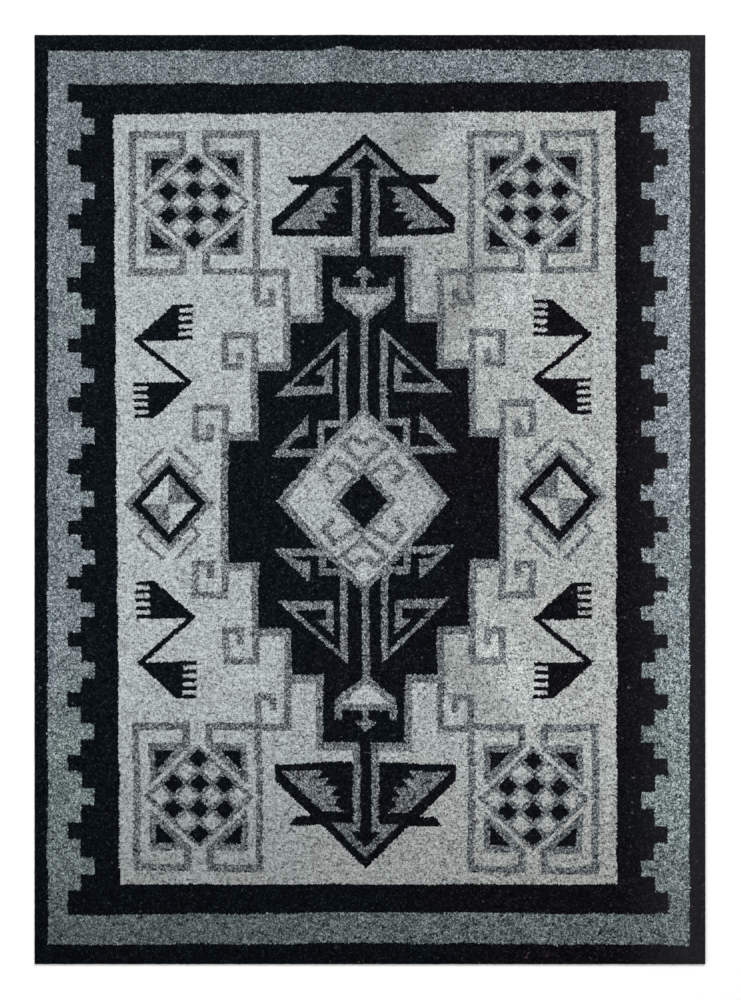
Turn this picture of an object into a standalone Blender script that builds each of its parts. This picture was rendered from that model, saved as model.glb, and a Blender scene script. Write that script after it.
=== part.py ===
"""A rectangular hand-knotted wool pile rug, lying flat. Metres, +Z up.

The rug is one piece of cloth: a woven foundation with the pile knotted into it. It is
centred on the origin, its long side runs along Y, and its underside lies on z = 0. A few
low, soft ripples lift the cloth a little, as they do in a rug that has just been unrolled.
"""

import bmesh
import bpy
from math import cos, hypot, pi, radians, sin

WIDTH = 1.220            # across, along X
LENGTH = 1.690           # along Y
FOUNDATION = 0.0025      # woven base of warp, weft and knots
PILE = 0.0055            # cut wool standing on the base
THICKNESS = FOUNDATION + PILE
SHOULDER = 0.0030        # the pile leans out and rounds over at the rug's edge
SHOULDER_SEGMENTS = 2
CELL = 0.0165            # largest spacing of the sheet's grid

# Each ripple: its middle, the way its crest runs from +X, its length and width, its height.
RIPPLES = {
    "top_edge": dict(at=(-0.048, 0.800), turned=84, long=0.300, wide=0.110, high=0.0035),
    "upper_right": dict(at=(0.215, 0.350), turned=56, long=0.420, wide=0.150, high=0.0030),
    "upper_middle": dict(at=(0.095, 0.655), turned=52, long=0.260, wide=0.120, high=0.0022),
    "lower_right": dict(at=(0.205, -0.300), turned=-50, long=0.400, wide=0.150, high=0.0030),
}

BLACK_WOOL = (0.012, 0.013, 0.016, 1.0)


def clear_scene():
    for old in list(bpy.data.objects):
        bpy.data.objects.remove(old, do_unlink=True)


def wool_material():
    """The CAD solid's one colour, that of the wool which covers most of the rug."""
    wool = bpy.data.materials.new("black_wool")
    wool.use_nodes = True
    shader = wool.node_tree.nodes["Principled BSDF"]
    shader.inputs["Base Color"].default_value = BLACK_WOOL
    shader.inputs["Roughness"].default_value = 0.95
    shader.inputs["Metallic"].default_value = 0.0
    return wool


def hump(u):
    """A smooth bump, 1 at u = 0 and flat again from u = 1 on."""
    return cos(u * pi / 2) ** 2 if abs(u) < 1 else 0.0


def lift(x, y):
    """How far the ripples raise the cloth at a point."""
    height = 0.0
    for ripple in RIPPLES.values():
        turn = radians(ripple["turned"])
        dx, dy = x - ripple["at"][0], y - ripple["at"][1]
        along = dx * cos(turn) + dy * sin(turn)
        across = dy * cos(turn) - dx * sin(turn)
        shape = hump(along / (ripple["long"] / 2)) * hump(across / (ripple["wide"] / 2))
        height += ripple["high"] * shape
    return height


def rug_mesh():
    """The underside as a grid that follows the ripples, raised by the cloth's thickness."""
    bm = bmesh.new()
    across, along = round(WIDTH / CELL), round(LENGTH / CELL)
    bmesh.ops.create_grid(bm, x_segments=across, y_segments=along, size=0.5)
    for corner in bm.verts:
        x, y = corner.co.x * WIDTH, corner.co.y * LENGTH
        corner.co = (x, y, lift(x, y))
    top = bmesh.ops.extrude_face_region(bm, geom=bm.faces[:], use_keep_orig=True)["geom"]
    raised = [part for part in top if isinstance(part, bmesh.types.BMVert)]
    bmesh.ops.translate(bm, verts=raised, vec=(0, 0, THICKNESS))
    bmesh.ops.recalc_face_normals(bm, faces=bm.faces[:])
    round_the_rim(bm, set(raised))
    mesh = bpy.data.meshes.new("rug")
    bm.to_mesh(mesh)
    bm.free()
    return mesh


def round_the_rim(bm, top):
    """Rounds the edge between the pile's top and the rug's four sides."""
    def is_side(face):
        return abs(face.normal.z) < 0.5

    rim = [
        edge for edge in bm.edges
        if set(edge.verts) <= top and any(map(is_side, edge.link_faces))
    ]
    bmesh.ops.bevel(
        bm, geom=rim, offset=SHOULDER, offset_type="OFFSET", segments=SHOULDER_SEGMENTS,
        profile=0.5, affect="EDGES", material=-1, clamp_overlap=True,
    )


def build():
    clear_scene()
    mesh = rug_mesh()
    mesh.materials.append(wool_material())
    rug = bpy.data.objects.new("rug", mesh)
    bpy.context.scene.collection.objects.link(rug)
    size = mesh.vertices[0].co.copy(), mesh.vertices[0].co.copy()
    for corner in mesh.vertices:
        for axis in range(3):
            size[0][axis] = min(size[0][axis], corner.co[axis])
            size[1][axis] = max(size[1][axis], corner.co[axis])
    reach = size[1] - size[0]
    print(f"rug: {reach.x:.3f} x {reach.y:.3f} x {reach.z:.4f} m,"
          f" {hypot(reach.x, reach.y):.3f} m corner to corner, {len(mesh.polygons)} faces")


build()
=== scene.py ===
# %% [markdown]
# # A hand-knotted wool pile rug
#
# The object is a flat rug of cut wool pile, about 1.22 m wide and 1.69 m long, in black, grey
# and cream. It could be made as one plain sheet with a painted design, but a rug gets its look
# from its knots: each one is a small tuft of a single wool, so that edges between the colours
# are ragged and the surface is grainy. So this lesson works as a weaver does. A chart says which
# wool each knot has, the knots are raised as tufts, and each wool gets a material of its own.

# %% Tools
from math import cos, pi, radians, sin

import bmesh
import bpy
import numpy as np
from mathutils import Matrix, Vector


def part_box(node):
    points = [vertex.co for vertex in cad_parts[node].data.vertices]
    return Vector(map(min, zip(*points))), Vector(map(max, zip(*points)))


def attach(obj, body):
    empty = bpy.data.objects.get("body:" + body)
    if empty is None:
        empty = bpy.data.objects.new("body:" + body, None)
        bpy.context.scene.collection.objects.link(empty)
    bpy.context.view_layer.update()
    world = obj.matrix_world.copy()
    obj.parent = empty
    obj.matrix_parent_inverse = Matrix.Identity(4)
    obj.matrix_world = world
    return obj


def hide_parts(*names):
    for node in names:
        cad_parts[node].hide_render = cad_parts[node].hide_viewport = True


chance = np.random.default_rng(465)
print("tools ready")

# %% [markdown]
# ## The frame
#
# The CAD part is one plain sheet with the rug's true size. It is loaded first and stays where it
# is, and every size below starts from its box.

# %% Load the frame
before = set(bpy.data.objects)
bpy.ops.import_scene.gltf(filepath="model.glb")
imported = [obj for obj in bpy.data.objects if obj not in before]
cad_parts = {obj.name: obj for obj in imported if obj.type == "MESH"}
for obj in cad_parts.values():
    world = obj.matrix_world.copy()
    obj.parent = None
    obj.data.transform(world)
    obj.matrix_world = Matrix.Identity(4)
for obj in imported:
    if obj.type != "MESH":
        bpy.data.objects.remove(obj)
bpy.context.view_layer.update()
low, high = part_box("rug")
WIDTH, LENGTH = high.x - low.x, high.y - low.y
FOUNDATION = 0.0025      # woven base of warp, weft and knots
THICKNESS = 0.0080       # base and pile together
print(f"the rug is {WIDTH:.3f} m x {LENGTH:.3f} m")

# %% [markdown]
# ## Ripples
#
# A rug that has just been unrolled lies flat but for a few low ripples. A cloth simulation could
# make some, but the CAD sheet already has four at known places, so the same formula is used
# here: each ripple is a long smooth hump, and a point's lift is the sum of them.

# %% Ripples in the cloth
RIPPLES = {
    "top_edge": dict(at=(-0.048, 0.800), turned=84, long=0.300, wide=0.110, high=0.0035),
    "upper_right": dict(at=(0.215, 0.350), turned=56, long=0.420, wide=0.150, high=0.0030),
    "upper_middle": dict(at=(0.095, 0.655), turned=52, long=0.260, wide=0.120, high=0.0022),
    "lower_right": dict(at=(0.205, -0.300), turned=-50, long=0.400, wide=0.150, high=0.0030),
}


def hump(u):
    """A smooth bump, 1 at u = 0 and flat again from u = 1 on."""
    return np.where(np.abs(u) < 1, np.cos(u * pi / 2) ** 2, 0)


def rise(ripple, x, y):
    turn = radians(ripple["turned"])
    dx, dy = x - ripple["at"][0], y - ripple["at"][1]
    along = dx * cos(turn) + dy * sin(turn)
    across = dy * cos(turn) - dx * sin(turn)
    shape = hump(along / (ripple["long"] / 2)) * hump(across / (ripple["wide"] / 2))
    return ripple["high"] * shape


def lift(x, y):
    """How far the ripples raise the cloth at each point."""
    return sum(rise(ripple, x, y) for ripple in RIPPLES.values())


highest = max(ripple["high"] for ripple in RIPPLES.values())
print(f"{len(RIPPLES)} ripples, up to {highest * 1000:.1f} mm high")

# %% [markdown]
# ## The knots
#
# Each knot stands as a tuft about 3.6 mm wide. Modelling tufts one by one would take millions of
# faces, and a displacement map can't make the ragged edges. A grid with one square for each knot,
# poked in the middle, gives every tuft a tip with four small faces around it. A slanting edge of
# the design can then pass between two quarters of one knot.

# %% A grid of knots, each with a tip
KNOTS_ACROSS, KNOTS_ALONG = 336, 465
cloth = bmesh.new()
bmesh.ops.create_grid(cloth, x_segments=KNOTS_ACROSS, y_segments=KNOTS_ALONG, size=0.5)
bmesh.ops.scale(cloth, vec=(KNOTS_ACROSS, KNOTS_ALONG, 1), verts=cloth.verts)
crown = cloth.verts.layers.float.new("crown")
for tip in bmesh.ops.poke(cloth, faces=cloth.faces[:], center_mode="MEAN")["verts"]:
    tip[crown] = 1.0
pile_mesh = bpy.data.meshes.new("pile")
cloth.to_mesh(pile_mesh)
cloth.free()


def read(items, name, width):
    """One value or vector of every item of a mesh, as an array."""
    values = np.empty(len(items) * width, np.float32)
    items.foreach_get(name, values)
    return values.reshape(-1, width).astype(float) if width > 1 else values.astype(float)


quarters = read(pile_mesh.polygons, "center", 3)[:, :2]
column = np.floor(quarters[:, 0] + KNOTS_ACROSS / 2).astype(int)
row = np.floor(quarters[:, 1] + KNOTS_ALONG / 2).astype(int)
print(f"{KNOTS_ACROSS * KNOTS_ALONG} knots in {len(quarters)} quarters")

# %% [markdown]
# ## The chart
#
# A weaver reads the design from a chart on squared paper. Here the chart holds every quarter of
# every knot, and figures are filled into it one over another. Its unit is one knot, counted from
# the middle of the rug. Hand work is never quite even, so tufts stray a little sideways, long
# lines waver, and the figures of the field drift as the weaver's count slips.

# %% Chart and pen
WOOL_COUNT = 3
BLACK, GREY, CREAM = range(WOOL_COUNT)
QUARTERS = [(sx, sy) for sx in (-1, 1) for sy in (1, -1)]


def ramp(value, start, end):
    """0 up to start, 1 from end on, and straight between them."""
    return np.clip((value - start) / (end - start), 0, 1)


class Chart:
    """The wool of every point, filled in polygon by polygon."""

    def __init__(self, x, y):
        self.x, self.y = x, y
        self.wool = np.full(x.shape, BLACK, np.int8)

    def fill(self, wool, points):
        points = np.array(points, float)
        least, most = points.min(0), points.max(0)
        near = np.flatnonzero(
            (self.x > least[0]) & (self.x < most[0]) & (self.y > least[1]) & (self.y < most[1])
        )
        x, y = self.x[near], self.y[near]
        inside = np.zeros(len(near), bool)
        for (x0, y0), (x1, y1) in zip(points, np.roll(points, -1, 0)):
            if y0 != y1:
                crossed = (y0 > y) != (y1 > y)
                inside ^= crossed & (x < x0 + (y - y0) * (x1 - x0) / (y1 - y0))
        self.wool[near[inside]] = wool


class Pen:
    """Draws in a figure's own knots, from where its middle is, flipped or stretched."""

    def __init__(self, middle=(0, 0), flip=(1, 1), drift=None):
        self.middle, self.flip, self.drift = middle, flip, drift

    def at(self, x, y, flip=(1, 1)):
        middle = self.middle[0] + self.flip[0] * x, self.middle[1] + self.flip[1] * y
        return Pen(middle, (self.flip[0] * flip[0], self.flip[1] * flip[1]), self.drift)

    def fill(self, wool, *points):
        placed = []
        for x, y in points:
            x, y = self.middle[0] + self.flip[0] * x, self.middle[1] + self.flip[1] * y
            dx, dy = self.drift(x, y) if self.drift else (0, 0)
            placed.append((x + dx, y + dy))
        chart.fill(wool, placed)

    def box(self, wool, x0, y0, x1, y1):
        self.fill(wool, (x0, y0), (x1, y0), (x1, y1), (x0, y1))

    def lozenge(self, wool, half_width, half_height, x=0, y=0, bulge=1.0):
        half = bulge / 2
        around = ((1, 0), (half, half), (0, 1), (-half, half),
                  (-1, 0), (-half, -half), (0, -1), (half, -half))
        self.fill(wool, *[(x + half_width * u, y + half_height * v) for u, v in around])

    def line(self, wool, width, *points):
        for (x0, y0), (x1, y1) in zip(points, points[1:]):
            length = np.hypot(x1 - x0, y1 - y0)
            ux, uy = (x1 - x0) / length * width / 2, (y1 - y0) / length * width / 2
            self.fill(wool, (x0 - ux - uy, y0 - uy + ux), (x1 + ux - uy, y1 + uy + ux),
                      (x1 + ux + uy, y1 + uy - ux), (x0 - ux + uy, y0 - uy - ux))


print(f"chart and pen ready for {WOOL_COUNT} wools")

# %% A chart of uneven hand work
STRAY_KNOT, STRAY_QUARTER = 0.12, 0.10       # how far tufts and their quarters stray, in knots
LONG_WAVE, SHORT_WAVE = 0.20, 0.15           # how far long lines waver, in knots
JOG_AT, JOG_WIDTH, JOG_DEPTH = -13.5, 6.0, 2.0     # a step in the top border, in knots


def wavered(x, y):
    """Where each point of the uneven rug lies in the even drawing."""
    jog = JOG_DEPTH * np.exp(-((x - JOG_AT) / JOG_WIDTH) ** 2) * ramp(y, 204, 226)
    across = LONG_WAVE * np.sin(y / 9.3 + 1.3) + SHORT_WAVE * np.sin(y / 4.1 + 0.4)
    along = LONG_WAVE * np.sin(x / 11.7) + SHORT_WAVE * np.sin(x / 5.3 + 2.0)
    return x + across, y + along - jog


stray = chance.normal(0, STRAY_KNOT, (KNOTS_ALONG, KNOTS_ACROSS, 2))[row, column]
stray += chance.normal(0, STRAY_QUARTER, quarters.shape)
chart = Chart(*wavered(*(quarters + stray).T))
print(f"chart of {len(chart.wool)} quarters, all black so far")


# %% [markdown]
# ## Borders
#
# From the outside in: a black edge, a grey band, a broad black band and the cream field. Down
# both sides, stepped grey teeth reach from the grey band into the black. Each band is filled
# whole, and the next one is filled over its middle.

# %% Borders and teeth
LEFT_TEETH = (187.2, 154.8, 123, 91.5, 62.3, 32.3, 0.4,
              -28.6, -54.8, -85, -115.6, -148.2, -183.2)
RIGHT_TEETH = (187.8, 154.2, 122.8, 92.8, 63.8, 35.8, 3.2,
               -28.2, -56.8, -85.2, -117.2, -150.5, -184.8)
TEETH_TOP, TEETH_BOTTOM = 218, -216          # where a next tooth would stand
LEFT_BAND, RIGHT_BAND = -151.4, 149.2        # inner sides of the grey band
STEP = 6.7               # how far each step of a tooth reaches inwards

rug = Pen()
rug.fill(GREY, (-161.3, 224.3), (159.9, 224.9), (159.9, -222.8), (10, -221.6), (-161.3, -222.6))
rug.fill(BLACK, (LEFT_BAND, 207.9), (RIGHT_BAND, 209.2), (RIGHT_BAND, -207.4), (10, -206.4),
         (LEFT_BAND, -207.8))
for edge, inward, teeth in ((LEFT_BAND, 1, LEFT_TEETH), (RIGHT_BAND, -1, RIGHT_TEETH)):
    for above, y, below in zip((TEETH_TOP,) + teeth, teeth, teeth[1:] + (TEETH_BOTTOM,)):
        up, down = (above - y) / 8, (y - below) / 8       # a tooth is 6 eighths wide, its tip 2
        rug.box(GREY, edge - inward, y - 3 * down, edge + inward * STEP, y + 3 * up)
        rug.box(GREY, edge, y - down, edge + inward * 2 * STEP, y + up)
rug.fill(CREAM, (-128.2, 192.6), (122.7, 194.1), (123.6, -192.3), (-125.2, -192.3))
print(f"borders with {len(LEFT_TEETH)} teeth on each side")

# %% [markdown]
# ## Corner figures and combs
#
# Each corner of the field holds a lozenge of small black, grey and cream lozenges in a grey
# frame. Between the corners and the middle stand black combs, two to a side, each a pair of
# toothed triangles joined by a thin slanting line. One figure is drawn about its own middle, and
# a flipped pen repeats it.

# %% Corner figures
MIDDLE = (-3.2, 0.2)     # of the field's figures, a little left of the rug's own middle
OUTLINE = 3.7            # width of the grey lines
BLACK_SIZE, CREAM_SIZE = (5.1, 4.7), (4.8, 4.4)    # half sizes of the small lozenges
ROW_PITCH = 6.1          # from one row of small lozenges to the next
SLIP = 2.3               # how far the lower left figures have slipped to the right
TILT, LESS_TILT = 0.012, 0.018     # how much the rows climb, and how much less low down


def slipped(x, y):
    """How far the count has slipped at a point of the field."""
    low_down = ramp(-y, 40, 150)
    return SLIP * low_down * ramp(-x, 0, 85), (TILT - LESS_TILT * low_down) * x


def corner_figure(pen, pitch):
    pen.box(GREY, -22.9, -22.4, 22.9, 22.4)
    for sx in (-1, 1):
        pen.line(GREY, OUTLINE, *[(sx * x, y) for x, y in (
            (5.7, 24.3), (5.7, 34.3), (31, 34.3), (31, -34.3), (5.7, -34.3),
            (5.7, -24.3), (22.9, -24.3), (22.9, 24.3), (5.7, 24.3))])
    for flip in QUARTERS:
        pen.at(0, 0, flip).fill(BLACK, (21.7, 22.6), (11.2, 22.6), (21.7, 12.9))
    pen.lozenge(CREAM, 31.2, 28.0)
    pen.lozenge(GREY, 28.0, 25.2)
    for across in range(-3, 4):
        for up in range(-3, 4):
            if (across + up) % 2 and abs(across) + abs(up) <= 3:
                wool, size = (BLACK, BLACK_SIZE) if up % 2 else (CREAM, CREAM_SIZE)
                pen.lozenge(wool, *size, pitch * across, ROW_PITCH * up)


CORNERS = (              # middle, stretch in height, pitch of the small lozenges across
    (-84.6, 149.2, 1, 6.6), (84.8, 147.9, 0.99, 6.6),
    (-84.5, -149.1, 1.04, 6.45), (85, -149.5, 1.03, 6.5),
)
field = Pen(MIDDLE, drift=slipped)
for x, y, tall, pitch in CORNERS:
    corner_figure(field.at(x, y, (1, tall)), pitch)
print(f"{len(CORNERS)} corner figures")


# %% Combs
COMB_TOP, COMB_TEETH = 28, 5
TOOTH_PITCH, TOOTH_WIDTH = 3.92, 2
COMBS = (                # middle, stretch in height
    (-100.3, 70.2, 1.01), (99.4, 70.2, 1.03), (-99.4, -69.7, 1.075), (99.7, -71.3, 1.02),
)
COMB_STRETCH = 1.035     # across, the same for all


def comb_figure(pen):
    for turn in (1, -1):
        half = pen.at(0, 0, (turn, turn))
        half.fill(BLACK, (-14, 11.2), (4.6, COMB_TOP), (7.5, COMB_TOP), (7.5, 10.2), (-10, 10.2))
        for tooth in range(COMB_TEETH):
            top = COMB_TOP - TOOTH_PITCH * tooth
            half.box(BLACK, 7, top - TOOTH_WIDTH, 14.2, top)
        half.line(BLACK, 2.6, (-12.9, 10.6), (0, 0))


for x, y, tall in COMBS:
    comb_figure(field.at(x, y, (COMB_STRETCH * np.sign(-x), tall * np.sign(y))))
print(f"{len(COMBS)} combs")

# %% [markdown]
# ## The medallion
#
# A black medallion fills the middle of the field. Its outline climbs in four steps, and a grey
# line follows it and curls into a square hook at every step. The grey steps are filled first, a
# little larger, so that the black ones leave an even line around them.

# %% Stepped medallion with hooks
STEPS = (                # half width, height above the middle, depth below it
    (20.7, 121.9, 121.7), (36.7, 88.6, 87.6), (52.8, 64.9, 63.9), (67.8, 30.4, 30.8),
)
HOOKS = ((38.6, 90.5), (54.4, 66.5), (69.4, 30))          # where each hook leaves its step
HOOK_WIDTH, HOOK_DROP, HOOK_LIP = 15, 15.4, 10.2          # its curl, from its top down
HOOK_TOPS = {(-1, 1): (114.1, 82.8, 46.7), (1, 1): (113.2, 82.6, 47.4),
             (-1, -1): (113.9, 80.4, 47.1), (1, -1): (115, 81.3, 48.8)}

for half_width, above, below in STEPS:
    x, thick = half_width + OUTLINE, OUTLINE + 0.6
    field.box(GREY, -x, -below - thick, x, above + thick)
for half_width, above, below in STEPS:
    field.box(BLACK, -half_width, -below, half_width, above)
for flip in QUARTERS:
    corner = field.at(0, 0, flip)
    for (x, foot), top in zip(HOOKS, HOOK_TOPS[flip]):
        end, turn, dip = x + HOOK_WIDTH, x + HOOK_WIDTH / 2, top - HOOK_DROP
        corner.line(GREY, OUTLINE, (x, foot), (x, top), (end, top), (end, dip),
                    (turn, dip), (turn, top - HOOK_LIP))
print(f"medallion of {len(STEPS)} steps with {4 * len(HOOKS)} hooks")


# %% [markdown]
# ## Small lozenges and arrow figures
#
# Beside the medallion sits a quartered lozenge on each side. Above and below it, an arrow with
# saw-toothed wings stands on a black stem between two grey lines.

# %% Side lozenges
def side_lozenge(pen):
    pen.lozenge(GREY, 22.5, 24)
    pen.lozenge(BLACK, 18.7, 20.4)
    pen.lozenge(CREAM, 13.6, 15.0)
    for turn in (1, -1):
        pen.fill(GREY, (0, 0), (0, 15.0 * turn), (13.6 * turn, 0))
    for flip in QUARTERS:
        pen.at(0, 0, flip).line(GREY, 2.1, (3.6, 27.2), (15.2, 15.8), (12.4, 12.4))


side_lozenge(field.at(-97.4, -1.1))
side_lozenge(field.at(97.8, -0.3, (-1.075, 1.075)))
print("2 side lozenges")


# %% Arrow figures
def arrow_figure(pen):
    for reach in (-1, 0.955):                # the right wing is a little shorter
        half = pen.at(0, 0, (reach, 1))
        half.fill(BLACK, (0, 61.2), (47, 18.5), (47, 10.6), (7, 9.3), (0, 9.3))
        half.fill(BLACK, (0, 40.4), (40, 40.4), (36.2, 35.7), (0, 35.7))
        half.fill(GREY, (0, 56), (17.6, 39.6), (0, 39.6))
        half.fill(GREY, (43.8, 14.2), (22.2, 33.8), (11, 34.1), (16.2, 31), (13.8, 26.6),
                  (18.6, 26.3), (14.4, 21.7), (22.2, 21.6), (19.2, 17.7), (25.4, 17.9),
                  (22.2, 13.6))
        half.box(GREY, 2.9, 2, 6.7, 43.3)
        half.fill(BLACK, (0, 51), (8.2, 43.3), (0, 43.3))
        half.box(BLACK, 0, -2, 2.9, 44)


arrow_figure(field.at(0.9, 121.9))
arrow_figure(field.at(1.1, -121.6, (1, -1.03)))
print("2 arrow figures")


# %% [markdown]
# ## Inside the medallion
#
# Grey lines on the black make a goblet on a long stem above and below, and two pairs of hooked
# triangles beside each stem. The heart of the rug is a cream lozenge with a black one in its
# middle and eight small hooks, and it is filled last, over the ends of the other lines.

# %% Goblets and hooked triangles
def goblet(pen):
    for sx in (-1, 1):
        half = pen.at(0, 0, (sx, 1))
        half.fill(GREY, (0, 89.4), (1.8, 89.4), (15.5, 100.4), (15.5, 110.5), (12.2, 110.5),
                  (12.2, 105.8), (0, 105.8))
        half.fill(CREAM, (0, 91.8), (12, 102.4), (0, 102.4))
        half.box(GREY, 0, 44, 1.8, 90)
        half.box(GREY, 0, 105, 1.5, 112)
        half.fill(GREY, (0, 116.6), (6, 111), (0, 111))


def hooked_triangles(pen, base):
    pen.fill(GREY, (8.6, 84.6), (44.6, 51.4), (15.8, 52.4), (15.8, 69.6), (24.8, 61.8),
             (19.4, 61.8), (19.4, 56.2), (35.9, 56.2), (12.2, 78.4), (12.2, 38), (8.5, 38))
    pen.fill(GREY, (47.2, base), (28.2, 41.9), (28, 31.6), (33, 31.3), (39.4, base + 3.8),
             (20, base + 3.8), (20, base + 0.3))
    pen.line(GREY, 3.5, (21.6, 22), (21.6, 37.1), (10, 37.1))


goblet(field.at(0.3, 0.2))
goblet(field.at(1.1, 0.2, (1, -1)))
hooked_triangles(field.at(0.2, 0.6, (-1, 1)), 21)
hooked_triangles(field.at(-0.2, 1.6, (1, 1)), 21)
hooked_triangles(field.at(0.2, 0.1, (-0.97, -0.98)), 24.6)
hooked_triangles(field.at(0.7, 0.8, (0.96, -0.98)), 24.6)
print("2 goblets, 4 pairs of hooked triangles")

# %% Heart of the medallion
THIN_LINE, HEART_BULGE = 3.0, 1.05
heart, core = field.at(0, -0.2), field.at(0, -0.9)
heart.lozenge(GREY, 43.4, 46.6, bulge=HEART_BULGE)
heart.lozenge(CREAM, 38.3, 42.4, bulge=HEART_BULGE)
for flip in QUARTERS:
    corner = core.at(0, 0, flip)
    corner.line(GREY, THIN_LINE, (0, 18.4), (11.2, 27.8), (5.4, 32.2), (2, 29.2))
    corner.line(GREY, THIN_LINE, (4.4, 14.4), (14.3, 20.9), (20, 14.4), (16, 9.8))
core.lozenge(GREY, 16.6, 18.3)
core.lozenge(BLACK, 12.3, 13.9)
shares = [np.mean(chart.wool == wool) for wool in (BLACK, GREY, CREAM)]
print("chart done: {:.0%} black, {:.0%} grey, {:.0%} cream".format(*shares))

# %% [markdown]
# ## Raising the pile
#
# The chart is flat, so now every tuft gets its height. Tips stand about 8 mm above the floor and
# lean a little towards the lower end, as pile does, and the hollows between the tufts are some
# 1.4 mm lower. Nothing is even in cut wool, so tips and hollows move a little at random. At the
# rug's rim the tufts lean out and the pile rounds over.

# %% Heights and leaning of the tufts
TIP, HOLLOW = THICKNESS, 0.0066
TIP_SPREAD, HOLLOW_SPREAD = 0.00040, 0.00030
LEAN = -0.14             # in knots, towards the lower end
SHIFT_TIP, SHIFT_HOLLOW = 0.14, 0.11
RIM_DROP, RIM_WIDTH = 0.0026, 1.6      # in metres, in knots
RIM_SHARE = 0.25         # how much of its shift a tuft keeps at the rim

places = read(pile_mesh.vertices, "co", 3)
is_tip = read(pile_mesh.attributes["crown"].data, "value", 1) > 0.5
count = len(places)
inset = np.minimum(KNOTS_ACROSS / 2 - np.abs(places[:, 0]),
                   KNOTS_ALONG / 2 - np.abs(places[:, 1]))
free = ramp(inset, 0, 1)[:, None]
shift = chance.normal(0, 1, (count, 2)) * np.where(is_tip, SHIFT_TIP, SHIFT_HOLLOW)[:, None]
shift[:, 1] += np.where(is_tip, LEAN, LEAN / 2)
places[:, :2] += shift * (RIM_SHARE + (1 - RIM_SHARE) * free)
places[:, 0] *= WIDTH / KNOTS_ACROSS
places[:, 1] *= LENGTH / KNOTS_ALONG
height = np.where(is_tip, TIP, HOLLOW)
height += chance.normal(0, 1, count) * np.where(is_tip, TIP_SPREAD, HOLLOW_SPREAD)
height -= RIM_DROP * (1 - ramp(inset, 0, RIM_WIDTH)) ** 2
places[:, 2] = height + lift(places[:, 0], places[:, 1])
pile_mesh.vertices.foreach_set("co", places.ravel().astype(np.float32))
pile_mesh.update()
# The crown value sets the painted shade in the hollows: near 1 on the tips, which stay bright,
# and lower in the hollows, which are painted darker.
openness = np.where(is_tip, 1 - 0.3 * chance.random(count), 0.9 * chance.random(count))
pile_mesh.attributes["crown"].data.foreach_set("value", openness.astype(np.float32))
print(f"tips up to {places[:, 2].max() * 1000:.1f} mm above the floor")

# %% [markdown]
# On a ripple the pile lies over to one side, and under the light pile that leans away looks
# darker than pile that shows its tips. That light and shade is painted: each point gets a value
# from a paler stripe near the crest of each ripple and a darker one beside it.

# %% Painted light and shade on the ripples
# Where each ripple gets its painted light and its painted shade.
RIPPLE_LIGHT_STRIPES = {              # how far to the right of its crest a ripple looks paler, and darker
    "top_edge": (-0.050, 0.022),
    "upper_right": (0.012, -0.048),
    "upper_middle": (0.055, -0.020),
    "lower_right": (0.035, -0.040),
}
nap = np.zeros(count)
for name, (paler, darker) in RIPPLE_LIGHT_STRIPES.items():
    ripple = RIPPLES[name]
    stripe = rise(ripple, places[:, 0] - paler, places[:, 1])
    stripe -= rise(ripple, places[:, 0] - darker, places[:, 1])
    nap += stripe / ripple["high"]
layer = pile_mesh.attributes.new("nap", "FLOAT", "POINT")
layer.data.foreach_set("value", nap.astype(np.float32))
print(f"nap from {nap.min():.2f} to {nap.max():.2f}")

# %% [markdown]
# No two tufts take the dye alike, so each quarter also carries a shade, a number about one half.
# Most of it is the quarter's own, because the cut ends in one tuft differ, and a smaller part
# belongs to the whole knot. Yarn is spun in lengths and the weaver works along a row, so a knot
# shares some of that part with the next one in the row and the one up and to the side. Coarse
# dark hairs in the fleece make flecks of one to three knots along a row, more of them in the
# yarn of the lower end.

# %% A shade for every tuft
KNOT_SHADE, QUARTER_SHADE = 0.06, 0.21
SHARED_ASIDE, SHARED_ALONG = 0.30, 0.20       # with the knot up and aside, with the next one
FEWEST_FLECKS, MOST_FLECKS = 0.020, 0.065     # share of knots, at the upper and lower end
FEWEST_ABOVE, MOST_BELOW = 300, 60            # rows, between which the share changes
FLECK_RUN, FLECK_DEPTH = 0.5, 0.32            # how often it runs on, how dark it is
FLECK_SHARE = 0.75                            # of a flecked knot's quarters

loose = chance.normal(0, 1, (KNOTS_ALONG, KNOTS_ACROSS))
aside = np.where(chance.random(loose.shape) < 0.6, np.roll(loose, (1, 1), (0, 1)),
                 np.roll(loose, (1, -1), (0, 1)))
knot_shade = loose + SHARED_ASIDE * aside + SHARED_ALONG * np.roll(loose, 1, 1)
knot_shade = knot_shade / np.hypot(1, SHARED_ASIDE + SHARED_ALONG)
shade = 0.5 + KNOT_SHADE * knot_shade[row, column]
shade += QUARTER_SHADE * chance.normal(0, 1, len(shade))

lowness = ramp(-np.arange(KNOTS_ALONG), -FEWEST_ABOVE, -MOST_BELOW)[:, None]
fleck = chance.random(loose.shape) < FEWEST_FLECKS + lowness * (MOST_FLECKS - FEWEST_FLECKS)
fleck |= np.roll(fleck, 1, 1) & (chance.random(loose.shape) < FLECK_RUN)
shade -= FLECK_DEPTH * (fleck[row, column] & (chance.random(len(shade)) < FLECK_SHARE))
tuft = pile_mesh.attributes.new("tuft", "FLOAT", "FACE")
tuft.data.foreach_set("value", np.clip(shade, 0, 1).astype(np.float32))
print(f"shades from {shade.min():.2f} to {shade.max():.2f}")

# %% [markdown]
# ## Cutting the pile into pieces
#
# One mesh of 625,000 faces is awkward to handle, and each wool needs its own material. So the
# pile is parted by wool, and each wool in two by place. Neighbouring pieces meet in the same
# points, so the surface has no gap. The open rim of each piece is extruded down into the
# foundation, which closes the sides of the rug and leaves no thin edge anywhere.

# %% Pieces of pile
ROOT = 0.0012            # how deep the pile is anchored, above the floor


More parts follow.
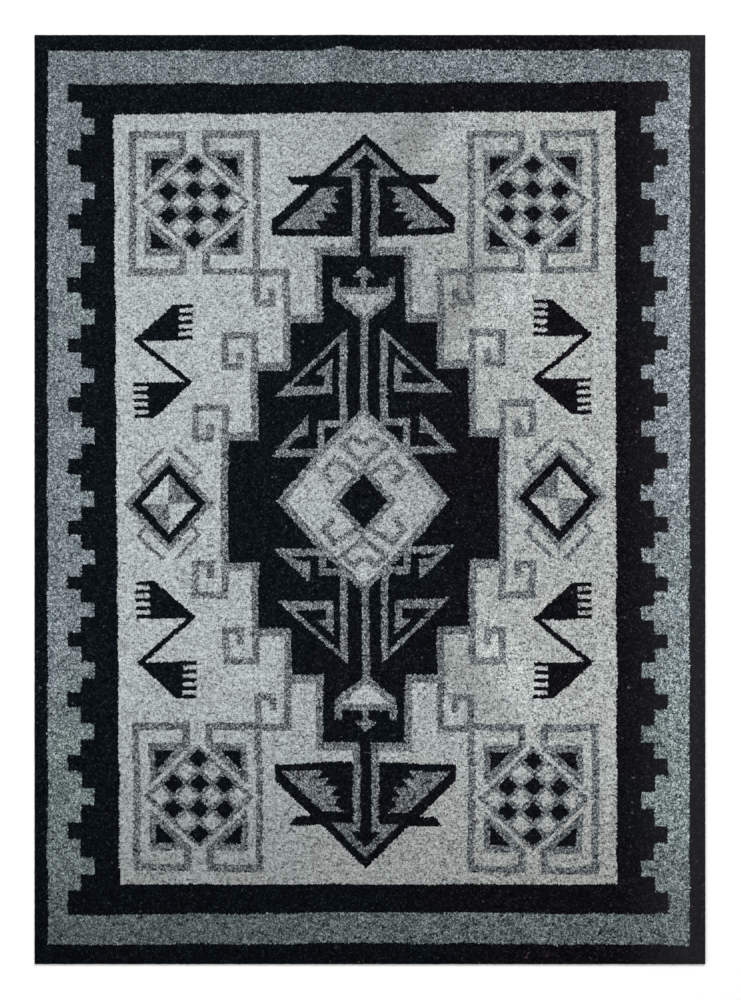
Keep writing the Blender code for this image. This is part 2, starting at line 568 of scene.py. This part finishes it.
def planar_map(mesh):
    """A map seen from straight above that fills the square, for finishes that follow the rug."""
    corners = read(mesh.loops, "vertex_index", 1).astype(int)
    flat = read(mesh.vertices, "co", 3)[:, :2]
    flat = (flat - flat.min(0)) / (flat.max(0) - flat.min(0))
    layer = mesh.uv_layers.new(name="OFBake")
    layer.data.foreach_set("uv", flat[corners].ravel().astype(np.float32))


def pile_piece(name, wanted):
    part = bmesh.new()
    part.from_mesh(pile_mesh)
    spare = [face for face, keep in zip(part.faces, wanted) if not keep]
    bmesh.ops.delete(part, geom=spare, context="FACES")
    rim = [edge for edge in part.edges if edge.is_boundary]
    for edge in rim:
        edge.smooth = False
    walls = bmesh.ops.extrude_edge_only(part, edges=rim)["geom"]
    feet = [item for item in walls if isinstance(item, bmesh.types.BMVert)]
    spots = np.array([foot.co for foot in feet])
    for foot, height in zip(feet, ROOT + lift(spots[:, 0], spots[:, 1])):
        foot.co.z = height
    for face in part.faces:
        face.smooth = True
    mesh = bpy.data.meshes.new(name)
    part.to_mesh(mesh)
    part.free()
    planar_map(mesh)
    piece = bpy.data.objects.new(name, mesh)
    bpy.context.scene.collection.objects.link(piece)
    print(f"{name}: {len(mesh.polygons)} faces")
    return piece


FIELD_MIDDLE, FIELD_HALF = -2, (127.5, 194.5)      # a little larger than the cream field
in_field = np.abs(quarters[:, 0] - FIELD_MIDDLE) < FIELD_HALF[0]
in_field &= np.abs(quarters[:, 1]) < FIELD_HALF[1]
upper = quarters[:, 1] > 0
black, grey, cream = (chart.wool == wool for wool in (BLACK, GREY, CREAM))
PARTS = {
    "pile_black_border": black & ~in_field,
    "pile_black_figures": black & in_field,
    "pile_grey_border": grey & ~in_field,
    "pile_grey_figures": grey & in_field,
    "pile_cream_upper": cream & upper,
    "pile_cream_lower": cream & ~upper,
}
pile = {name: pile_piece(name, wanted) for name, wanted in PARTS.items()}

# %% [markdown]
# ## The foundation
#
# Under the pile lies the woven ground that the knots are tied to. Each knot wraps round the warp
# and shows again on the back, so the design is there too, turned over, and in straight steps.
# Again one face stands for one knot. Faces of one wool are then dissolved into one another inside
# blocks a few knots wide, which takes the grid from 156,000 faces down to about 9,000 and leaves
# the design's outlines. The blocks keep the faces small enough to follow the ripples.

# %% Backs of the knots
MARGIN = 0.0012          # the pile stands out past the ground all round
BLOCK_COLUMNS, BLOCK_ROWS = 6, 5

knot = row * KNOTS_ACROSS + column
knot_wool = np.argmax([
    np.bincount(knot, chart.wool == wool, KNOTS_ACROSS * KNOTS_ALONG)
    for wool in range(WOOL_COUNT)
], 0)

sheet = bmesh.new()
bmesh.ops.create_grid(sheet, x_segments=KNOTS_ACROSS, y_segments=KNOTS_ALONG, size=0.5)
for face in sheet.faces:
    spot = face.calc_center_median()
    x, y = int((spot.x + 0.5) * KNOTS_ACROSS), int((spot.y + 0.5) * KNOTS_ALONG)
    block = (x // BLOCK_COLUMNS + y // BLOCK_ROWS) % 2
    face.material_index = int(knot_wool[y * KNOTS_ACROSS + x]) + WOOL_COUNT * block
bmesh.ops.dissolve_limit(sheet, angle_limit=radians(1), verts=sheet.verts[:],
                         edges=sheet.edges[:], delimit={"MATERIAL"})
print(f"{len(sheet.faces)} faces after dissolving")

# %% [markdown]
# The sheet takes the ripples' height, and an extrusion upwards closes it to an even thickness.
# The wool of each face goes into an attribute, which the material reads.

# %% Foundation sheet
bmesh.ops.scale(sheet, vec=(WIDTH - 2 * MARGIN, LENGTH - 2 * MARGIN, 1), verts=sheet.verts)
spots = np.array([corner.co for corner in sheet.verts])
for corner, height in zip(sheet.verts, lift(spots[:, 0], spots[:, 1])):
    corner.co.z = height
wool_layer = sheet.faces.layers.float.new("wool")
for face in sheet.faces:
    face[wool_layer] = face.material_index % WOOL_COUNT / (WOOL_COUNT - 1)
    face.material_index = 0
raised = bmesh.ops.extrude_face_region(sheet, geom=sheet.faces[:], use_keep_orig=True)["geom"]
raised = [item for item in raised if isinstance(item, bmesh.types.BMVert)]
bmesh.ops.translate(sheet, verts=raised, vec=(0, 0, FOUNDATION))
bmesh.ops.recalc_face_normals(sheet, faces=sheet.faces[:])
open_edges = [edge for edge in sheet.edges if len(edge.link_faces) != 2]
ground_mesh = bpy.data.meshes.new("foundation")
sheet.to_mesh(ground_mesh)
sheet.free()
ground = bpy.data.objects.new("foundation", ground_mesh)
bpy.context.scene.collection.objects.link(ground)
print(f"foundation: {len(ground_mesh.polygons)} faces, {len(open_edges)} open edges")

# %% [markdown]
# ## Materials
#
# The class below wraps one socket of a material, so that shader maths can be written as plain
# expressions. Its node method adds any other node, from a type, its settings and its sockets.

# %% A socket that can be calculated with
class Socket:
    def __init__(self, tree, output):
        self.tree, self.output = tree, output

    def node(self, kind, settings=None, sockets=None, out=0):
        made = self.tree.nodes.new("ShaderNode" + kind)
        for name, value in (settings or {}).items():
            if name == "stops":
                for _ in value[2:]:
                    made.color_ramp.elements.new(0.5)
                for stop, (place, colour) in zip(made.color_ramp.elements, value):
                    stop.position, stop.color = place, (*colour, 1)
            else:
                setattr(made, name, value)
        for name, value in (sockets or {}).items():
            if isinstance(value, Socket):
                self.tree.links.new(value.output, made.inputs[name])
            else:
                made.inputs[name].default_value = value
        return Socket(self.tree, made.outputs[out])

    def maths(self, operation, *values):
        return self.node("Math", {"operation": operation}, dict(enumerate(values)))

    def __add__(self, other):
        return self.maths("ADD", self, other)

    def __sub__(self, other):
        return self.maths("SUBTRACT", self, other)

    def __rsub__(self, other):
        return self.maths("SUBTRACT", other, self)

    def __mul__(self, other):
        return self.maths("MULTIPLY", self, other)

    __radd__, __rmul__ = __add__, __mul__

    def __abs__(self):
        return self.maths("ABSOLUTE", self)

    def ramped(self, start, end, least=0.0, most=1.0):
        return self.node("MapRange", {"interpolation_type": "SMOOTHSTEP"}, {
            "Value": self, "From Min": start, "From Max": end, "To Min": least, "To Max": most})

    def noise(self, scale, detail=2.0, stretch=(1, 1, 1), turn=0.0, distortion=0.0):
        at = self.node("Mapping", {}, {
            "Vector": self, "Rotation": (0, 0, turn), "Scale": stretch})
        return self.node("TexNoise", {"noise_dimensions": "3D"}, {
            "Vector": at, "Scale": scale, "Detail": detail, "Distortion": distortion})

    def part(self, axis):
        return self.node("SeparateXYZ", {}, {"Vector": self}, out=axis)

    def scaled(self, amount):
        return self.node("VectorMath", {"operation": "SCALE"}, {0: self, "Scale": amount})

    def mixed(self, first, second, blend="MIX"):
        """first where this is 0, second where it is 1, as colours."""
        return self.node("Mix", {"data_type": "RGBA", "blend_type": blend}, {
            0: self, 6: first, 7: second}, out=2)


def new_material(name):
    """A material and its shader, with a socket to start its expressions from."""
    material = bpy.data.materials.new(name)
    material.use_nodes = True
    tree = material.node_tree
    shader = tree.nodes["Principled BSDF"]
    where = Socket(tree, tree.nodes.new("ShaderNodeTexCoord").outputs["Object"])
    return material, shader, where


def colour(red, green, blue):
    return red, green, blue, 1.0


print("socket class ready")

# %% [markdown]
# ## Wool
#
# Cut pile has no gloss. What shows is the ends of the tufts: each has a shade of its own, painted
# shade darkens the hollows between the tufts and paints light and shade on the ripples, and fine
# fibres roughen it. The three wools share that, so one function builds it from three colours,
# dark, middle and light, and hands back the sockets that each wool then adds its own faults to.
# A little sheen gives the soft bloom that wool has when it is seen from low down.

# %% Cut pile
RIPPLE_LIGHT_DEPTH = 0.24         # how strong the painted light and shade on the ripples is


def cut_pile(name, stops, hollow_shade, grain, contrast=(1.0, 1.0)):
    """Wool of three colours, with its contrast at the rug's left and at its right."""
    material, shader, where = new_material(name)
    shade = where.node("Attribute", {"attribute_name": "tuft"}, out="Fac")
    tip = where.node("Attribute", {"attribute_name": "crown"}, out="Fac")
    strokes = where.noise(520, 1.0, (1.0, 0.6, 1.0), radians(35), 0.5)
    fibres = where.noise(1300, 3.0, (1.0, 0.7, 1.0), radians(20))
    mixed_shade = shade + (strokes - 0.5) * grain + (fibres - 0.5) * (grain * 0.6)
    spread = where.part("X").ramped(-0.50, 0.40, *contrast)
    mixed_shade = (mixed_shade - 0.5) * spread + 0.5
    wool = mixed_shade.node("ValToRGB", {"stops": stops}, {"Fac": mixed_shade})
    # Painted light and shade on the ripples' flanks, paler by the crest and darker beside it.
    nap = where.node("Attribute", {"attribute_name": "nap"}, out="Fac")
    # Painted shade darkens the hollows between the tufts.
    wool = wool.scaled(tip.ramped(0.0, 0.8, hollow_shade, 1.0) * (nap * RIPPLE_LIGHT_DEPTH + 1))
    bump = where.node("Bump", {}, {
        "Strength": 0.5, "Distance": 0.0008, "Height": strokes * 0.7 + fibres * 0.5})
    shader.inputs["Roughness"].default_value = 0.95
    shader.inputs["Specular IOR Level"].default_value = 0.05
    material.node_tree.links.new(bump.output, shader.inputs["Normal"])
    return material, shader, where, wool


def yarn_and_painted_light(where, wool):
    """Slow changes over the whole rug: darker at the lower end, partly darker yarn and partly
    painted shade, darker at the upper end as painted shade, paler low on the right than low on
    the left, and a painted sheen along the right side."""
    # The lower end is darker partly in the yarn and partly as painted shade; the upper end is
    # darker as painted shade.
    low_down = (where.part("Y") * -1).ramped(0.30, 0.84, 1.0, 0.68)
    painted_top_shade = where.part("Y").ramped(0.20, 0.80, 1.0, 0.88)
    to_right = where.part("X").ramped(0.0, 0.35, 0.0, 0.12)
    to_left = where.part("X").ramped(-0.15, 0.0, -0.05, 0.0)
    lower = (where.part("Y") * -1).ramped(0.20, 0.55)
    # A painted sheen, a pale haze along the right side.
    painted_sheen = where.part("X").ramped(0.44, 0.60, 0.0, 0.022)
    wool = wool.scaled(low_down * painted_top_shade * ((to_right + to_left) * lower + 1))
    return painted_sheen.mixed(wool, colour(0.50, 0.50, 0.52))


def dress(shader, wool, sheen, tint):
    wool.tree.links.new(wool.output, shader.inputs["Base Color"])
    shader.inputs["Sheen Weight"].default_value = sheen
    shader.inputs["Sheen Roughness"].default_value = 0.6
    shader.inputs["Sheen Tint"].default_value = tint


print(f"cut pile ready, {RIPPLE_LIGHT_DEPTH:.0%} paler or darker where it leans")

# %% Black wool
black_wool, shader, where, wool = cut_pile("black_wool", [
    (0.0, (0.0002, 0.0003, 0.0006)), (0.5, (0.0024, 0.0034, 0.0053)),
    (0.8, (0.0095, 0.0100, 0.0130)), (1.0, (0.0360, 0.0360, 0.0390))], 0.40, 0.6)
lint = where.noise(110, 1.0).ramped(0.735, 0.785)
wool = lint.mixed(wool, colour(0.075, 0.066, 0.060))
patchy = (where.noise(4.5, 2.0) - 0.5) * 2.2
to_right = where.part("X").ramped(-0.20, 0.40)
wool = (1 - to_right + patchy).mixed(wool, colour(0.72, 1.12, 1.18), "MULTIPLY")
wool = (to_right - patchy - 0.3).mixed(wool, colour(1.22, 0.92, 1.05), "MULTIPLY")
dress(shader, yarn_and_painted_light(where, wool), 0.01, colour(0.3, 0.3, 0.35))
print("black wool ready")

# %% Grey wools
grey_wool, shader, where, wool = cut_pile("grey_wool", [
    (0.0, (0.003, 0.005, 0.008)), (0.5, (0.148, 0.183, 0.207)),
    (1.0, (0.56, 0.61, 0.64))], 0.50, 0.7, (1.0, 1.3))
# The grey is darker low down, partly darker yarn and partly painted shade; it is also darker
# along the top and paler along the right.
bottom_darker = (where.part("Y") * -1).ramped(0.66, 0.74, 1.0, 0.78)
top_darker = where.part("Y").ramped(0.70, 0.76, 1.0, 0.90)
right_paler = where.part("X").ramped(0.50, 0.56, 1.0, 1.18)
patchy = where.noise(9.0, 2.0, (1.0, 1.6, 1.0)).ramped(0.30, 0.70, 0.88, 1.12)
wool = wool.scaled(bottom_darker * top_darker * right_paler * patchy)
green = (where.noise(5.0, 1.0) - 0.5) * 2.0 + (where.part("Y") * -1).ramped(0.10, 0.60)
wool = green.mixed(wool, colour(0.97, 1.03, 0.94), "MULTIPLY")
dress(shader, yarn_and_painted_light(where, wool), 0.05, colour(0.8, 0.85, 0.9))

figure_grey_wool, shader, where, wool = cut_pile("figure_grey_wool", [
    (0.0, (0.002, 0.003, 0.004)), (0.5, (0.104, 0.120, 0.131)),
    (1.0, (0.45, 0.49, 0.51))], 0.50, 0.7, (1.3, 1.3))
# The line round the heart is a slightly paler lot. It lies where from_heart is about 1.
from_heart = abs(where.part("X") + 0.011) * 6.3 + abs(where.part("Y")) * 6.0
outline = from_heart.ramped(0.82, 0.88) * from_heart.ramped(1.0, 1.06, 1.0, 0.0)
wool = wool.scaled(outline * 0.10 + 1.02)
dress(shader, yarn_and_painted_light(where, wool), 0.05, colour(0.8, 0.85, 0.9))
print("two grey wools ready")

# %% Cream wool
cream_wool, shader, where, wool = cut_pile("cream_wool", [
    (0.0, (0.035, 0.040, 0.043)), (0.30, (0.297, 0.327, 0.335)),
    (0.55, (0.470, 0.516, 0.524)), (1.0, (0.67, 0.729, 0.727))], 0.50, 0.55, (0.84, 1.06))
kemp = where.noise(75, 2.0, (1.0, 4.0, 1.0)).ramped(0.62, 0.70)
patches = where.noise(5.0, 1.0).ramped(0.60, 0.35, 0.45, 1.0)
wool = (kemp * patches * 0.75).mixed(wool, colour(0.085, 0.088, 0.090))
# The yarn up the middle of the upper half is a little darker.
middle = abs(where.part("X") - 0.05).ramped(0.04, 0.27, 1.0, 0.0)
shaded = middle * where.part("Y").ramped(-0.25, 0.15) * 0.15
wool = wool.scaled(1 - shaded)
warm = where.part("X").ramped(-0.30, 0.45) * 0.6 + (where.part("Y") * -1).ramped(0.40, 0.75) * 0.4
warm = warm + (where.noise(9.0, 1.0) - 0.5) * 0.8
wool = warm.mixed(wool, colour(1.0, 0.955, 0.905), "MULTIPLY")
dress(shader, yarn_and_painted_light(where, wool), 0.05, colour(0.95, 0.97, 0.95))
print("cream wool ready")

# %% [markdown]
# On the back each knot is a small ridge across two warps, in its own wool, and the cotton weft
# shows as a thin pale line between the rows. Two wave textures with the knots' own spacing make
# the ridges, and the wool attribute picks the colour.

# %% Back of the rug
KNOT_WIDE, KNOT_HIGH = WIDTH / KNOTS_ACROSS, LENGTH / KNOTS_ALONG
WAVE = pi / 10           # a wave texture's spacing at scale 1

weave, shader, where = new_material("foundation_weave")
ribs = where.node("TexWave", {"wave_type": "BANDS", "bands_direction": "X"}, {
    "Vector": where, "Scale": WAVE / KNOT_WIDE * 2, "Distortion": 0.6, "Detail": 1.0})
rows = where.node("TexWave", {"wave_type": "BANDS", "bands_direction": "Y"}, {
    "Vector": where, "Scale": WAVE / KNOT_HIGH, "Distortion": 0.4, "Detail": 1.0})
wool = where.node("Attribute", {"attribute_name": "wool"}, out="Fac")
wool = wool.node("ValToRGB", {"stops": [
    (0.0, (0.008, 0.010, 0.013)), (0.5, (0.130, 0.155, 0.170)), (1.0, (0.380, 0.410, 0.415))]},
    {"Fac": wool})
fibres = where.noise(900, 2.0).ramped(0.3, 0.7, 0.75, 1.2)
wool = wool.scaled(fibres * (ribs * 0.35 + 0.72))
weft = rows.ramped(0.10, 0.0) * 0.5
wool = weft.mixed(wool, colour(0.33, 0.31, 0.27))
bump = where.node("Bump", {}, {
    "Strength": 0.7, "Distance": 0.0008, "Height": rows * 0.7 + ribs * 0.3})
weave.node_tree.links.new(wool.output, shader.inputs["Base Color"])
weave.node_tree.links.new(bump.output, shader.inputs["Normal"])
shader.inputs["Roughness"].default_value = 0.9
shader.inputs["Specular IOR Level"].default_value = 0.15
print("back of the rug ready")

# %% Give each piece its wool
WOOLS = {"black": black_wool, "grey": grey_wool, "cream": cream_wool}
for name, piece in pile.items():
    kind = name.split("_")[1]
    wool = figure_grey_wool if name == "pile_grey_figures" else WOOLS[kind]
    piece.data.materials.append(wool)
    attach(piece, "root")
ground.data.materials.append(weave)
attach(ground, "root")
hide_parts("rug")
print(f"{len(pile)} pieces of pile on the foundation")

# %% [markdown]
# ## Camera, floor and light
#
# The camera looks straight down on the rug through a long lens. The floor is plain and pale. The
# stronger of two large soft lights stands beyond the rug's upper end, a little to the right, and
# the weaker one at its left.

# %% Camera
LENS, SENSOR = 100.0, 36.0
VIEW, RUG_IN_VIEW = 1000, 930            # the rug takes up 930 thousandths of the view
distance = LENGTH * VIEW / RUG_IN_VIEW * LENS / SENSOR
off_middle = 0.5 * LENGTH / RUG_IN_VIEW  # the rug lies a little up and left in it
eye = bpy.data.cameras.new("camera")
eye.lens, eye.sensor_width, eye.clip_end = LENS, SENSOR, 100.0
camera = bpy.data.objects.new("camera", eye)
camera.location = (off_middle, -off_middle, distance + THICKNESS)
bpy.context.scene.collection.objects.link(camera)
bpy.context.scene.camera = camera
print(f"camera {distance:.2f} m above the rug")

# %% Floor and lights
FLOOR_REACH, FLOOR_GAP = 20, 0.0003      # from the middle, and below the rug
floor_form = bmesh.new()
bmesh.ops.create_grid(floor_form, x_segments=4, y_segments=4, size=FLOOR_REACH)
bmesh.ops.translate(floor_form, verts=floor_form.verts, vec=(0, 0, -FLOOR_GAP))
floor_mesh = bpy.data.meshes.new("floor")
floor_form.to_mesh(floor_mesh)
floor_form.free()
floor = bpy.data.objects.new("floor", floor_mesh)
bpy.context.scene.collection.objects.link(floor)
plain, shader, _ = new_material("floor_paint")
shader.inputs["Base Color"].default_value = (0.97, 0.97, 0.97, 1)
shader.inputs["Roughness"].default_value = 0.9
shader.inputs["Specular IOR Level"].default_value = 0.1
floor.data.materials.append(plain)


def soft_light(name, place, size, power):
    lamp = bpy.data.lights.new(name, "AREA")
    lamp.shape, lamp.size, lamp.energy = "DISK", size, power
    light = bpy.data.objects.new(name, lamp)
    light.location = place
    x, y, z = place
    light.rotation_euler = (0, np.arctan2(np.hypot(x, y), z), np.arctan2(y, x))
    bpy.context.scene.collection.objects.link(light)


soft_light("key_light", (1.2, 3.2, 5.0), 2.4, 270)
soft_light("fill_light", (-1.9, -0.6, 3.2), 3.0, 45)
world = bpy.data.worlds.new("studio")
world.use_nodes = True
world.node_tree.nodes["Background"].inputs["Color"].default_value = (1, 1, 1, 1)
world.node_tree.nodes["Background"].inputs["Strength"].default_value = 0.37
bpy.context.scene.world = world
bpy.context.scene.view_settings.view_transform = "Standard"
print("floor, two lights and an even sky")
